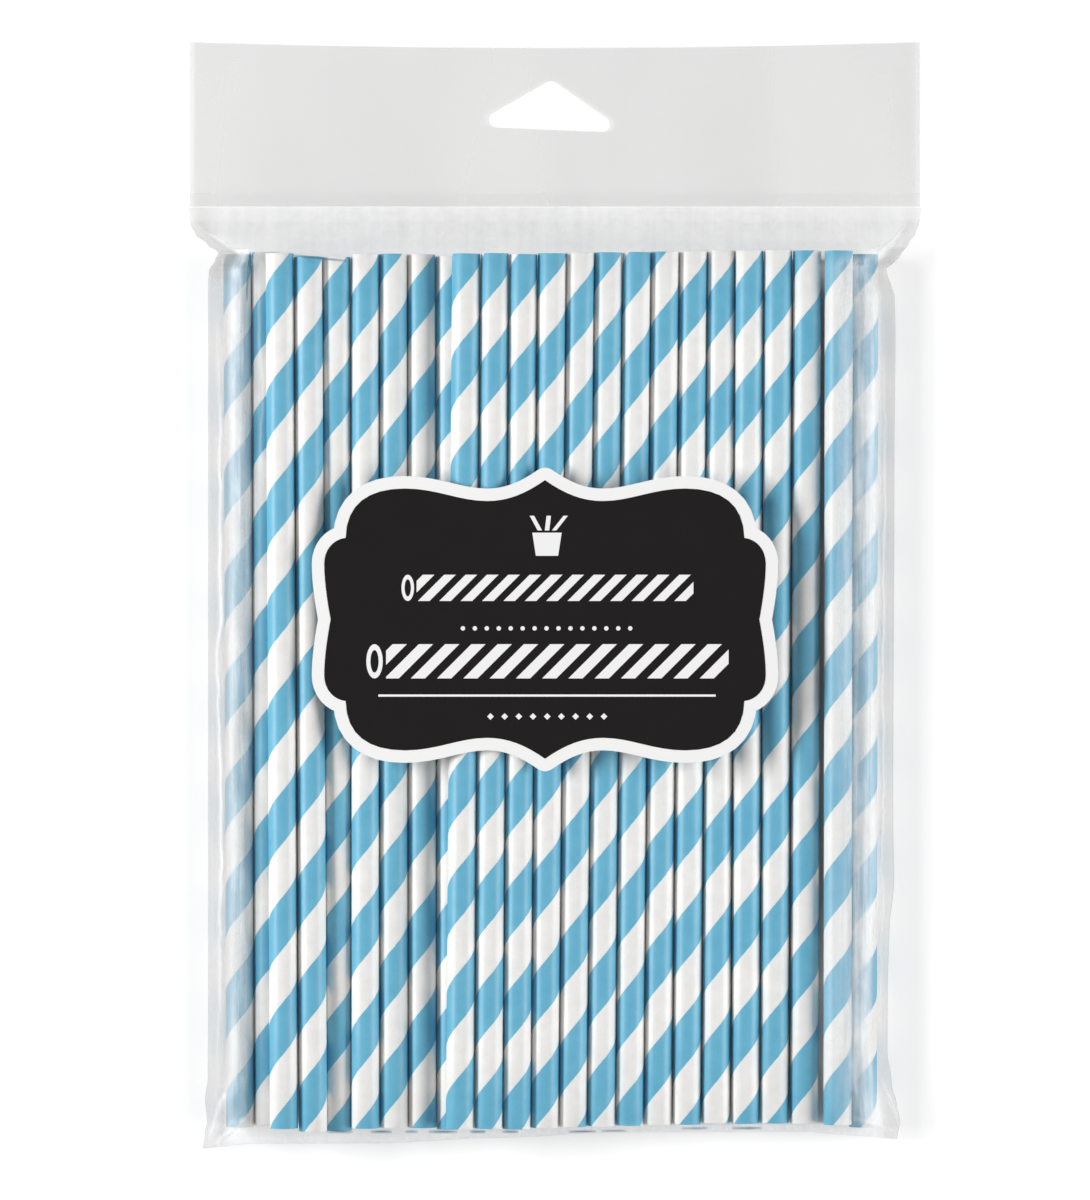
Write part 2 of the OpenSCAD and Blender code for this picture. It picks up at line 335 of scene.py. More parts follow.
def stripedPaper():
    material, tree, shader = startMaterial("stripedPaper")
    setup = strawSetup
    wrap = tree.nodes.new("ShaderNodeUVMap")
    wrap.uv_map = "wrap"
    parts = splitPlace(tree, wrap.outputs["UV"])
    place = objectPlace(tree)
    wobble = noise(tree, place, 900, 2.0)
    wander = sums(tree, "MULTIPLY_ADD", wobble, 0.014, -0.007)
    turn = sums(tree, "ADD", parts["X"], parts["Y"])
    turn = sums(tree, "ADD", turn, wander)
    share = sums(tree, "FRACT", turn)
    # 1 on the blue band, with a soft printed edge on both of its sides
    rising = spread(tree, share, 0.0, 0.007)
    falling = spread(tree, share, setup["blueEnd"], setup["blueEnd"] + 0.007, 1.0, 0.0)
    blueMask = sums(tree, "MULTIPLY", rising, falling)
    shade, height = addGrain(tree, place, 2600)
    clouds = spread(tree, shade, 0.35, 0.65)
    ink = mixColours(tree, clouds, setup["blue"], setup["deepBlue"])
    bare = mixColours(tree, clouds, setup["white"], setup["shadeWhite"])
    colour = mixColours(tree, blueMask, bare, ink)
    # the paper strip's edges meet in a hairline groove beside the blue band; the thin grey line along
    # it is partly the joint and partly painted shade of the groove
    fromSeam = sums(tree, "ABSOLUTE", sums(tree, "SUBTRACT", share, setup["seamPlace"]))
    seam = spread(tree, fromSeam, 0.0, 0.006, 1.0, 0.0)
    colour = mixColours(tree, sums(tree, "MULTIPLY", seam, 0.22), colour, setup["seamShadeGrey"])
    feed(tree, colour, shader.inputs["Base Color"])
    gloss = spread(tree, height, 0.3, 0.7, 0.4, 0.5)
    feed(tree, gloss, shader.inputs["Roughness"])
    shader.inputs["Specular IOR Level"].default_value = 0.5
    relief = sums(tree, "SUBTRACT", sums(tree, "MULTIPLY", height, 0.25), seam)
    feed(tree, bump(tree, relief, 0.35, 0.00008), shader.inputs["Normal"])
    return material


def corePaper():
    # bare paper inside the tube and on its cut ends
    material, tree, shader = startMaterial("corePaper")
    place = objectPlace(tree)
    shade, height = addGrain(tree, place, 3200)
    colour = mixColours(tree, shade, strawSetup["core"], strawSetup["white"])
    feed(tree, colour, shader.inputs["Base Color"])
    feed(tree, spread(tree, height, 0.3, 0.7, 0.75, 0.9), shader.inputs["Roughness"])
    shader.inputs["Specular IOR Level"].default_value = 0.2
    feed(tree, bump(tree, height, 0.5, 0.00005), shader.inputs["Normal"])
    return material


def firstStraw(materials):
    # one tube that stands on its foot end along Z, with its head end up
    setup = strawSetup
    bpy.ops.mesh.primitive_cylinder_add(
        vertices=setup["sides"],
        radius=setup["outside"] / 2 * mm,
        depth=setup["length"] * mm,
        end_fill_type="NOTHING",
        location=(0, 0, setup["length"] / 2 * mm),
    )
    straw = bpy.context.object
    straw.name = "strawPattern"
    bpy.ops.object.transform_apply(location=True, rotation=True, scale=True)
    bpy.ops.object.mode_set(mode="EDIT")
    bpy.ops.mesh.select_all(action="DESELECT")
    mesh = bmesh.from_edit_mesh(straw.data)
    for edge in mesh.edges:
        edge.select = abs(edge.verts[0].co.z - edge.verts[1].co.z) > 0.1
    bmesh.update_edit_mesh(straw.data)
    bpy.ops.mesh.subdivide(number_cuts=setup["rings"])
    bpy.ops.object.mode_set(mode="OBJECT")
    for material in materials:
        straw.data.materials.append(material)
    wall = straw.modifiers.new("wall", "SOLIDIFY")
    wall.thickness = setup["wall"] * mm
    wall.offset = -1
    wall.use_even_offset = True
    wall.material_offset = 1
    wall.material_offset_rim = 1
    bpy.ops.object.modifier_apply(modifier="wall")
    ends = straw.modifiers.new("ends", "BEVEL")
    ends.width = setup["endRound"] * mm
    ends.segments = 2
    ends.limit_method = "ANGLE"
    ends.angle_limit = math.radians(60)
    bpy.ops.object.modifier_apply(modifier="ends")
    bpy.ops.object.shade_smooth_by_angle(angle=math.radians(40))
    return straw


def strawEnds(node):
    # the middles of a tube's two ends, from the box of the points near each end
    points = np.array([vertex.co for vertex in node.data.vertices])
    ends = []
    for high in (True, False):
        edge = points[:, 1].max() if high else points[:, 1].min()
        near = points[np.abs(points[:, 1] - edge) < 0.5 * mm]
        middle = (near.min(0) + near.max(0)) / 2
        ends.append(Vector(middle))
    return ends


def wrapStraw(straw, start, turnLength):
    # turns round the tube run along U, and turns of the spiral below the head along V
    setup = strawSetup
    layer = straw.data.uv_layers.new(name="wrap")
    whole = setup["length"] * mm
    for face in straw.data.polygons:
        middle = face.center
        around = math.atan2(middle.x, -middle.y) / (2 * math.pi)
        for corner in face.loop_indices:
            point = straw.data.vertices[straw.data.loops[corner].vertex_index].co
            own = math.atan2(point.x, -point.y) / (2 * math.pi)
            own = around + (own - around + 0.5) % 1 - 0.5
            below = (whole - point.z) / (turnLength * mm)
            layer.data[corner].uv = (own, below - start)


def makeStraws():
    pattern = firstStraw([stripedPaper(), corePaper()])
    names = sorted(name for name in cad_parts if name.startswith("straw_"))
    setup = strawSetup
    for name, start, turnLength in zip(names, setup["bandStart"], setup["turnLength"]):
        head, foot = strawEnds(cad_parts[name])
        straw = pattern.copy()
        straw.data = pattern.data.copy()
        bpy.context.scene.collection.objects.link(straw)
        straw.name = name.replace("straw_", "paper_straw_")
        wrapStraw(straw, start, turnLength)
        # the pattern's -Y side is turned to face up, where the spiral is counted from
        axis = (head - foot).normalized()
        side = axis.cross(Vector((0, 0, 1))).normalized()
        up = side.cross(axis)
        turn = Matrix((side, -up, axis)).transposed().to_4x4()
        straw.data.transform(Matrix.Translation(foot) @ turn)
        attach(straw, "root")
        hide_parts(name)
    bpy.data.objects.remove(pattern)


makeStraws()
print("stage: straws")


# film pouch

filmSetup = {
    "columns": 150,
    "rows": 200,
    "sideFocus": 0.6,  # how much closer the columns lie towards the sides
    "endFocus": 0.75,  # how much closer the rows lie towards the head and the foot
    "inset": 0.06,  # the visible film lies in the middle of the solid film's wall
    "lapGap": 0.12,
    "lapTop": 0.02,
    "headSpace": 10.1,
    "footSpace": 2.1,
    "sideSlack": 3.5,
    "creaseHeight": 3.0,
    "creaseHalf": 0.05,
    "creaseRun": 16.0,
    "leftRound": 16.0,
    "rightRound": 23.0,
    "backRound": 3.5,
    "footRound": 1.3,
    "seamReach": 0.14,
    # distance below the weld line, and share of the way from the body's side out to the
    # header's end; below 0 the edge is drawn in by that share of the slack
    "leftPinch": [(0, 1), (4, 0.9), (6, 0.66), (8.8, 0.02), (10.2, -0.66), (12, -0.45),
                  (14.2, -0.05), (17, 0)],
    "rightPinch": [(0, 1), (3.3, 0.94), (6, 0.8), (8.3, 0.55), (11.2, 0.24), (12.6, 0.05),
                   (14.2, -0.45), (15.7, -0.35), (18, -0.1), (20, 0.05), (28, 0.08), (60, 0.04),
                   (130, 0)],
    # distance above the foot edge, and how far the ear stands out
    "leftEar": [(0, 1.2), (3, 0.8), (6, 0.3), (11, 0.7), (16, 0.1), (30, 0)],
    "rightEar": [(0, 0.9), (4, 1.5), (8, 0.8), (12, -0.3), (20, -1.3), (34, -1.25), (46, -0.9),
                 (58, 0.2), (72, 0)],
    # share of the way across, and how far the foot edge lies beyond its shortest place
    "footEdge": [(0, 3.8), (0.08, 2.7), (0.25, 2.6), (0.42, 1.4), (0.6, 0.1), (0.86, 0),
                 (0.95, 1.1), (1, 1.7)],
    # haze below the weld line, and, by the distance from each side, haze and painted reflection over
    # the outer straws
    "headVeil": [(0, 0), (0.3, 0.115), (2.5, 0.13), (4.2, 0.16), (6, 0.148), (8, 0.115),
                 (9.5, 0.105), (11.5, 0)],
    "leftHazeAndReflection": [(2.6, 0.1), (3.6, 0.5), (5.0, 0.46), (7.0, 0.3), (8.8, 0.2), (10.5, 0)],
    "rightHazeAndReflection": [(3.0, 0.15), (4.4, 0.42), (6.2, 0.42), (8.6, 0.38), (9.6, 0.24), (11.5, 0.24),
                  (14.5, 0.13), (17, 0)],
    # haze of the doubled edges near the head, and how much less it is near the foot
    "leftEdge": (0.24, 0.03),
    "rightEdge": (0.225, 0.065),
    "footVeil": 0.1,
    "outlineVeil": 0.24,
    # the film's own haze over the straws, and a grey that paints the darker shade of its doubled rims
    # and sloping head, which real film gets from refraction and slope
    "milk": (0.89, 0.94, 0.975, 1),
    "rimShadeGrey": (0.42, 0.405, 0.40, 1),
    "glint": (0.88, 0.89, 0.90, 1),
    "reflectedBlue": (0.05, 0.16, 0.25, 1),
    # creases as start, end and width, across and along the pack, drawn with a painted highlight
    "creases": [
        ((-79.5, 82.5), (-70.0, 76.5), 0.7),
        ((80.0, 84.5), (72.0, 76.0), 0.7),
        ((-75.6, 66.0), (-75.9, -112.0), 0.6),
        ((74.2, 62.0), (73.6, -104.0), 0.6),
        ((-66.2, 74.5), (-65.4, 20.0), 0.5),
        ((-78.6, -123.5), (-74.5, -112.0), 0.9),
        ((-77.0, -124.0), (-69.5, -117.5), 0.9),
        ((77.6, -120.5), (73.0, -108.0), 0.9),
        ((76.5, -121.0), (66.5, -117.5), 0.9),
    ],
    # painted dark-blue reflections, lines where a fold of the front film would reflect the blue of the
    # straws below it, as start, end, width and depth
    "blueReflectionFolds": [
        ((-59.6, 76.4), (-46.0, 75.0), 0.42, 0.85),
        ((-68.6, 77.5), (-68.9, 66.0), 0.42, 0.8),
        ((-51.6, -120.6), (-45.4, -120.6), 0.5, 0.85),
        ((-42.0, -120.6), (-36.7, -120.6), 0.5, 0.9),
        ((-33.9, -120.6), (-30.6, -120.6), 0.5, 0.7),
        ((-28.5, -120.6), (-21.6, -120.6), 0.5, 0.85),
        ((-18.8, -120.6), (-15.3, -120.6), 0.5, 0.75),
        ((-11.9, -120.6), (-8.1, -120.6), 0.5, 0.65),
        ((2.9, -120.6), (9.0, -120.6), 0.45, 0.7),
        ((10.1, -120.5), (16.2, -120.5), 0.45, 0.6),
        ((28.1, -119.9), (34.3, -119.8), 0.45, 0.55),
        ((39.6, -119.8), (46.2, -119.8), 0.45, 0.7),
    ],
}


def ease(share):
    share = np.clip(share, 0, 1)
    return share * share * (3 - 2 * share)


def along(pairs, at):
    # a value between the pairs' values, with a smooth run from one to the next
    at = np.asarray(at, float)
    places = np.array([pair[0] for pair in pairs], float)
    values = np.array([pair[1] for pair in pairs], float)
    left = np.clip(np.searchsorted(places, at, side="right") - 1, 0, len(pairs) - 2)
    share = ease((at - places[left]) / (places[left + 1] - places[left]))
    return values[left] + (values[left + 1] - values[left]) * share


def roundedRise(distance, run, fullness):
    share = 1 - np.clip(distance / run, 0, 1)
    return (1 - share ** fullness) ** (1 / fullness)


def blend(first, second, share):
    return first + (second - first) * share


def filmPlaces():
    # the pouch's main sizes, in millimetres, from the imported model
    low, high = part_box("film_bag")
    headerLow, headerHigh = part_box("header")
    labelLow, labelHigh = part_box("label")
    ends = [strawEnds(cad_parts[name]) for name in sorted(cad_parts) if "straw" in name]
    strawTop = max(head.y for head, foot in ends)
    strawFoot = min(foot.y for head, foot in ends)
    radius = strawSetup["outside"] / 2
    setup = filmSetup
    return {
        "ends": ends,
        "weld": headerLow.y / mm,
        "mouth": high.y / mm,
        "half": (high.x - low.x) / 2 / mm,
        "strawTop": strawTop / mm,
        "foot": strawTop / mm - strawSetup["length"] - setup["footSpace"],
        "left": min(head.x for head, foot in ends) / mm - radius - setup["sideSlack"],
        "right": max(head.x for head, foot in ends) / mm + radius + setup["sideSlack"],
        "crest": labelLow.z / mm - setup["inset"],
        "lapHigh": headerHigh.z / mm + setup["lapGap"],
        "lapLow": headerLow.z / mm - setup["lapGap"],
    }


def pouchPoint(places, u, low, front):
    # u runs across from the left, and low is the distance below the weld line at the pack's
    # shortest place; returns the point and the distances that the wrinkles need
    setup = filmSetup
    length = places["weld"] - places["foot"]
    up = length - low
    pinchLeft = along(setup["leftPinch"], low)
    pinchRight = along(setup["rightPinch"], low)
    left = np.where(
        pinchLeft < 0,
        places["left"] - pinchLeft * setup["sideSlack"],
        blend(places["left"], -places["half"], pinchLeft),
    ) - along(setup["leftEar"], up)
    right = np.where(
        pinchRight < 0,
        places["right"] + pinchRight * setup["sideSlack"],
        blend(places["right"], places["half"], pinchRight),
    ) + along(setup["rightEar"], up)
    left = left + setup["inset"]
    right = right - setup["inset"]
    foot = places["foot"] - along(setup["footEdge"], u) + setup["inset"]
    x = blend(left, right, u)
    y = blend(places["weld"], foot, low / length)
    fromLeft = x - left
    fromRight = right - x
    fromSide = np.minimum(fromLeft, fromRight)
    fromFoot = y - foot
    below = ease(low / setup["creaseRun"])
    middle = (places["lapHigh"] + places["lapLow"]) / 2
    half = blend((places["lapHigh"] - places["lapLow"]) / 2, setup["creaseHalf"], below)
    crease = blend(middle, setup["creaseHeight"], below)
    fall = roundedRise(fromFoot, setup["footRound"], 2.0)
    if front:
        rise = np.minimum(
            roundedRise(fromLeft, setup["leftRound"], 1.5),
            roundedRise(fromRight, setup["rightRound"], 1.5),
        )
        full = crease + half + (places["crest"] - crease - half) * rise * fall
        flat = blend(crease + half, places["lapHigh"], np.clip(fromSide / 2, 0, 1))
        z = blend(flat, full, roundedRise(low, setup["headSpace"], 1.1))
    else:
        back = roundedRise(fromSide, setup["backRound"], 1.5) * fall
        z = blend(crease - half, setup["inset"], back)
    return x, y, z, fromLeft, fromRight, fromFoot


def creaseGroup():
    # how near a place is to a straight crease between two points, as a line and as a height
    group = bpy.data.node_groups.new("filmCrease", "ShaderNodeTree")
    group.interface.new_socket("Place", in_out="INPUT", socket_type="NodeSocketVector")
    group.interface.new_socket("Start", in_out="INPUT", socket_type="NodeSocketVector")
    group.interface.new_socket("Run", in_out="INPUT", socket_type="NodeSocketVector")
    width = group.interface.new_socket("Width", in_out="INPUT", socket_type="NodeSocketFloat")
    width.default_value = 0.0005
    group.interface.new_socket("Line", in_out="OUTPUT", socket_type="NodeSocketFloat")
    start = group.nodes.new("NodeGroupInput")
    end = group.nodes.new("NodeGroupOutput")

    def vectors(how, first, second):
        node = group.nodes.new("ShaderNodeVectorMath")
        node.operation = how
        feed(group, first, node.inputs[0])
        feed(group, second, node.inputs[1])
        return node

    flat = vectors("MULTIPLY", start.outputs["Place"], (1, 1, 0)).outputs["Vector"]
    fromStart = vectors("SUBTRACT", flat, start.outputs["Start"]).outputs["Vector"]
    ahead = vectors("DOT_PRODUCT", fromStart, start.outputs["Run"]).outputs["Value"]
    whole = vectors("DOT_PRODUCT", start.outputs["Run"], start.outputs["Run"]).outputs["Value"]
    share = sums(group, "DIVIDE", ahead, whole, clamp=True)
    scaled = group.nodes.new("ShaderNodeVectorMath")
    scaled.operation = "SCALE"
    group.links.new(start.outputs["Run"], scaled.inputs[0])
    group.links.new(share, scaled.inputs["Scale"])
    nearest = vectors("SUBTRACT", fromStart, scaled.outputs["Vector"]).outputs["Vector"]
    away = vectors("LENGTH", nearest, None).outputs["Value"]
    # the crease fades towards both of its ends
    fade = sums(group, "SINE", sums(group, "MULTIPLY", share, math.pi))
    fade = sums(group, "POWER", fade, 0.5)
    near = sums(group, "SUBTRACT", 1, sums(group, "DIVIDE", away, start.outputs["Width"]), clamp=True)
    group.links.new(sums(group, "MULTIPLY", near, fade), end.inputs["Line"])
    return group


def creaseLines(tree, group, place, creases):
    # a list of creases together, wavering a little as real ones do
    wave = noise(tree, place, 60, 2.0)
    bend = sums(tree, "MULTIPLY_ADD", wave, 0.003, -0.0015)
    shift = tree.nodes.new("ShaderNodeCombineXYZ")
    tree.links.new(bend, shift.inputs["X"])
    moved = tree.nodes.new("ShaderNodeVectorMath")
    moved.operation = "ADD"
    tree.links.new(place, moved.inputs[0])
    tree.links.new(shift.outputs["Vector"], moved.inputs[1])
    total = None
    for start, end, width, *depth in creases:
        run = Vector((end[0] - start[0], end[1] - start[1], 0)) * mm
        node = tree.nodes.new("ShaderNodeGroup")
        node.node_tree = group
        tree.links.new(moved.outputs["Vector"], node.inputs["Place"])
        node.inputs["Start"].default_value = (start[0] * mm, start[1] * mm, 0)
        node.inputs["Run"].default_value = run
        node.inputs["Width"].default_value = width * mm
        line = sums(tree, "MULTIPLY", node.outputs["Line"], depth[0]) if depth else node.outputs["Line"]
        total = line if total is None else sums(tree, "MAXIMUM", total, line)
    return total


def clearFilm():
    material, tree, shader = startMaterial("clearFilm")
    place = objectPlace(tree)
    veil = tree.nodes.new("ShaderNodeAttribute")
    veil.attribute_name = "veil"
    rim = tree.nodes.new("ShaderNodeAttribute")
    rim.attribute_name = "rim"
    # long soft streaks where the film is pulled tight along the straws, and finer wrinkles
    streaks = noise(tree, place, 420, 3.0, 0.6, (1.0, 0.04, 1.0))
    wrinkles = noise(tree, place, 240, 4.0, 0.6, (1.0, 0.45, 1.0))
    longer = spread(tree, streaks, 0.3, 0.7, 0.55, 1.45)
    shorter = spread(tree, wrinkles, 0.3, 0.7, 0.8, 1.2)
    mottle = sums(tree, "MULTIPLY", longer, shorter)
    # the rims and the head stay smooth
    calm = spread(tree, rim.outputs["Fac"], 0.0, 1.0, 1.0, 0.25, False)
    mottle = sums(tree, "MULTIPLY_ADD", sums(tree, "SUBTRACT", mottle, 1), calm, 1)
    amount = sums(tree, "MULTIPLY", veil.outputs["Fac"], mottle)
    weight = tree.nodes.new("ShaderNodeLayerWeight")
    weight.inputs["Blend"].default_value = 0.25
    edgeOn = sums(tree, "POWER", weight.outputs["Facing"], 2.0)
    amount = sums(tree, "MULTIPLY_ADD", edgeOn, 0.1, amount)
    group = creaseGroup()
    lines = creaseLines(tree, group, place, filmSetup["creases"])
    # painted reflections of the straws' blue in the front film's folds, dark lines with more opacity
    blueReflections = creaseLines(tree, group, place, filmSetup["blueReflectionFolds"])
    onFront = sums(tree, "GREATER_THAN", splitPlace(tree, place)["Z"], 2 * mm)
    blueReflections = sums(tree, "MULTIPLY", blueReflections, onFront)
    amount = sums(tree, "MULTIPLY_ADD", lines, 0.16, amount)
    amount = sums(tree, "ADD", blueReflections, amount, clamp=True)
    feed(tree, amount, shader.inputs["Alpha"])
    # painted grey shade on the rims and the head zone
    colour = mixColours(tree, rim.outputs["Fac"], filmSetup["milk"], filmSetup["rimShadeGrey"])
    # the creases take a pale painted highlight colour
    colour = mixColours(tree, lines, colour, filmSetup["glint"])
    # the painted reflections take a dark blue
    colour = mixColours(tree, spread(tree, blueReflections, 0.02, 0.2), colour, filmSetup["reflectedBlue"])
    feed(tree, colour, shader.inputs["Base Color"])
    shader.inputs["Roughness"].default_value = 0.25
    shader.inputs["Specular IOR Level"].default_value = 0.25
    relief = sums(tree, "MULTIPLY_ADD", wrinkles, 0.5, lines)
    feed(tree, bump(tree, relief, 0.5, 0.0003), shader.inputs["Normal"])
    return material


def makeFilm():
    places = filmPlaces()
    setup = filmSetup
    length = places["weld"] - places["foot"]
    share = np.linspace(0, 1, setup["columns"] + 1)
    across = blend(share, (1 - np.cos(np.pi * share)) / 2, setup["sideFocus"])
    rowShare = np.linspace(0, 1, setup["rows"] + 1)
    rows = blend(rowShare, (1 - np.cos(np.pi * rowShare)) / 2, setup["endFocus"]) * length
    u, low = np.meshgrid(across, rows)
    mouthHalf = places["half"] - setup["inset"]
    walls = []
    for front in (True, False):
        x, y, z, fromLeft, fromRight, fromFoot = pouchPoint(places, u, low, front)
        veil, rim = filmVeil(low, fromLeft, fromRight, fromFoot, front)
        mouthX = blend(-mouthHalf, mouthHalf, across)
        mouthZ = np.full_like(mouthX, places["lapHigh"] if front else places["lapLow"])
        x = np.vstack([mouthX, x])
        y = np.vstack([np.full_like(mouthX, places["mouth"] - setup["lapTop"]), y])
        z = np.vstack([mouthZ, z])
        veil = np.vstack([veil[0], veil])
        rim = np.vstack([rim[0], rim])
        walls.append((x, y, z, veil, rim))
    rowCount, columnCount = walls[0][0].shape
    points = []
    looks = {"veil": [], "rim": []}
    for x, y, z, veil, rim in walls:
        points.append(np.stack([x, y, z], -1).reshape(-1, 3) * mm)
        looks["veil"].append(veil.reshape(-1))
        looks["rim"].append(rim.reshape(-1))
    faces = []
    for wall in (0, 1):
        for row in range(rowCount - 1):
            for column in range(columnCount - 1):
                corner = (wall * rowCount + row) * columnCount + column
                quad = (corner, corner + columnCount, corner + columnCount + 1, corner + 1)
                faces.append(quad if wall == 0 else quad[::-1])
    mesh = bpy.data.meshes.new("filmPouch")
    mesh.from_pydata([tuple(p) for p in np.concatenate(points)], [], faces)
    mesh.update()
    for look, values in looks.items():
        layer = mesh.attributes.new(look, "FLOAT", "POINT")
        layer.data.foreach_set("value", np.concatenate(values).astype(np.float32))
    film = bpy.data.objects.new("film_pouch", mesh)
    bpy.context.scene.collection.objects.link(film)
    pick(film)
    mesh.materials.append(clearFilm())
    # the two walls meet along the sides and the foot
    seams = bmesh.new()
    seams.from_mesh(mesh)
    mouth = (places["mouth"] - 0.5) * mm
    edgePoints = [vertex for vertex in seams.verts if vertex.is_boundary and vertex.co.y < mouth]
    bmesh.ops.remove_doubles(seams, verts=edgePoints, dist=setup["seamReach"] * mm)
    seams.to_mesh(mesh)
    seams.free()
    bpy.ops.object.shade_smooth()
    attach(film, "root")
    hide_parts("film_bag")


def window(value, low, full, late, high):
    # 0 outside low and high, 1 from full to late
    return ease((value - low) / (full - low)) * ease((high - value) / (high - late))


def filmVeil(low, fromLeft, fromRight, fromFoot, front):
    # how milky a wall looks, more where it is creased, gathered or doubled at an edge, and how much of
    # that takes the painted grey shade of the rims
    setup = filmSetup
    side = np.minimum(fromLeft, fromRight)
    onTheLeft = fromLeft < fromRight
    head = along(setup["headVeil"], low)
    lowDown = ease((low - 80) / 80)
    leftEdge = setup["leftEdge"][0] - setup["leftEdge"][1] * lowDown
    rightEdge = setup["rightEdge"][0] - setup["rightEdge"][1] * lowDown
    edge = np.where(onTheLeft, leftEdge, rightEdge)
    edge = edge * (1 - ease((side - 2.8) / 1.0)) * ease(low / 5)
    foot = setup["footVeil"] * (1 - ease((fromFoot - 1.6) / 1.2))
    outline = 1 - ease(np.minimum(side, fromFoot + 0.2) / 0.45)
    outline = setup["outlineVeil"] * outline * ease(low / 5)
    thin = np.maximum.reduce([head, edge, foot, outline])
    # the rims, where the painted grey shade goes: the side slopes and the head zone below the weld
    slope = np.where(onTheLeft, 1 - ease((side - 4.0) / 3.0), 1 - ease((side - 3.0) / 2.0))
    rim = np.maximum(slope, 0.7 * (1 - ease((low - 8.5) / 2.0)))
    if not front:
        return thin + 0.005, rim
    # the front wall is milky over the outer straws too, where it comes down to the sides: partly haze
    # and partly a painted reflection of its slopes
    over = np.maximum(along(setup["leftHazeAndReflection"], fromLeft), along(setup["rightHazeAndReflection"], fromRight))
    over = over * ease((low - 10.0) / 3.0) * ease((fromFoot - 2.0) / 1.5)
    # gathered film hides the heads of the outermost straws
    gatherLeft = 0.62 * window(low, 9.0, 10.5, 14.0, 21.0) * (1 - ease((fromLeft - 5.5) / 4.0))
    gatherRight = 0.5 * window(low, 8.5, 10.0, 12.5, 16.0) * (1 - ease((fromRight - 6.0) / 4.0))
    over = np.maximum.reduce([over, gatherLeft, gatherRight])
    return np.maximum(thin, over) + 0.012, rim


makeFilm()
print("stage: film pouch")


# header strip

headerSetup = {
    "milk": (0.55, 0.54, 0.535, 1),
    "gridStep": 3.0,
    "flatAngle": 0.01,  # faces and edges that turn by less than this, in radians, are joined
    "wave": 0.12,
}


def headerFilm():
    material, tree, shader = startMaterial("headerFilm")
    place = objectPlace(tree)
    # tall cloudy patches, as film has that was pressed flat between warm bars
    cloud = noise(tree, place, 26, 3.0, 0.5, (1.0, 0.3, 1.0))
    patches = spread(tree, cloud, 0.3, 0.7, 0.0, 1.0)
    amount = sums(tree, "MULTIPLY_ADD", patches, 0.07, 0.35)
    feed(tree, amount, shader.inputs["Alpha"])
    shader.inputs["Base Color"].default_value = headerSetup["milk"]
    shader.inputs["Roughness"].default_value = 0.3
    shader.inputs["Specular IOR Level"].default_value = 0.3
    feed(tree, bump(tree, cloud, 0.3, 0.0005), shader.inputs["Normal"])
    return material


def cutGrid(piece, low, high, step):
    # straight cuts across and along a flat sheet, so that it can be bent
    mesh = bmesh.new()
    mesh.from_mesh(piece.data)
    for axis in (0, 1):
        count = int((high[axis] - low[axis]) / (step * mm))
        for number in range(1, count + 1):
            at = [0, 0, 0]
            at[axis] = low[axis] + (high[axis] - low[axis]) * number / (count + 1)
            normal = [0, 0, 0]
            normal[axis] = 1
            everything = mesh.verts[:] + mesh.edges[:] + mesh.faces[:]
            bmesh.ops.bisect_plane(mesh, geom=everything, plane_co=at, plane_no=normal)
    mesh.to_mesh(piece.data)
    mesh.free()


def makeHeader():
    # one thin sheet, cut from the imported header's upper face, that waves a little
    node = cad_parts["header"]
    low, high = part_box("header")
    sheet = node.copy()
    sheet.data = node.data.copy()
    bpy.context.scene.collection.objects.link(sheet)
    sheet.name = "header_strip"
    mesh = bmesh.new()
    mesh.from_mesh(sheet.data)
    others = [face for face in mesh.faces if face.calc_center_median().z < high.z - 0.01 * mm]
    bmesh.ops.delete(mesh, geom=others, context="FACES")
    flat = headerSetup["flatAngle"]
    bmesh.ops.dissolve_limit(mesh, angle_limit=flat, verts=mesh.verts, edges=mesh.edges)
    mesh.to_mesh(sheet.data)
    mesh.free()
    cutGrid(sheet, low, high, headerSetup["gridStep"])
    middle = (low.z + high.z) / 2
    for vertex in sheet.data.vertices:
        x, y = vertex.co.x / mm, vertex.co.y / mm
        up = (vertex.co.y - low.y) / (high.y - low.y)
        wave = math.sin(x * 0.071 + 0.6) * 0.6 + math.sin(x * 0.19 + y * 0.05) * 0.4
        vertex.co.z = middle + headerSetup["wave"] * mm * wave * float(ease(up * 1.6 - 0.2))
    sheet.data.update()
    sheet.data.materials.clear()
    sheet.data.materials.append(headerFilm())
    pick(sheet)
    bpy.ops.object.shade_smooth()
    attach(sheet, "root")
    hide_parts("header")


makeHeader()
print("stage: header")


# label

